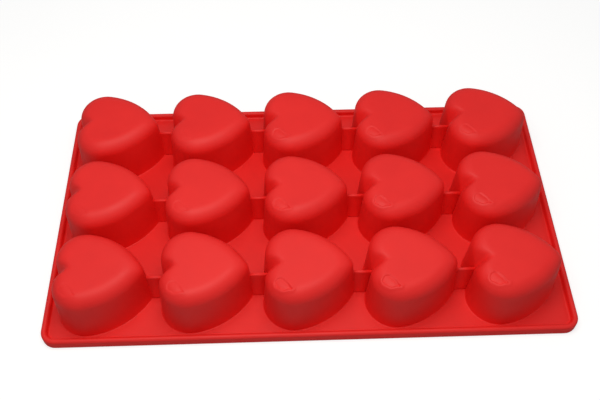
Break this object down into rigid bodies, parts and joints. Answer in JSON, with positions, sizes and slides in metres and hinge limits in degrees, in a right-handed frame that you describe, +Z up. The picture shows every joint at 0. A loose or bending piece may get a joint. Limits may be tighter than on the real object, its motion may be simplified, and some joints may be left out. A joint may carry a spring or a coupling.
{
  "type": "ice cube tray",
  "caption": "Soft moulded ice cube tray with rows of heart cups joined by thin ribs on a flat sheet with a raised rim, lying mouth side down.",
  "frame": {"origin": "centre of the tray's outline on the face that it rests on, which is the cups' mouth side", "axes": "+X along the rows of cups, the way the hearts' tips point; +Y across the rows; +Z up from the mouth side to the cups' closed ends. The tray lies mouth down as pictured; a half turn about +X puts it in use."},
  "size_m": [0.22, 0.1234, 0.0262],
  "materials": {
    "silicone": "matte"
  },
  "bodies": {
    "root": {"tray": "silicone"}
  },
  "joints": []
}
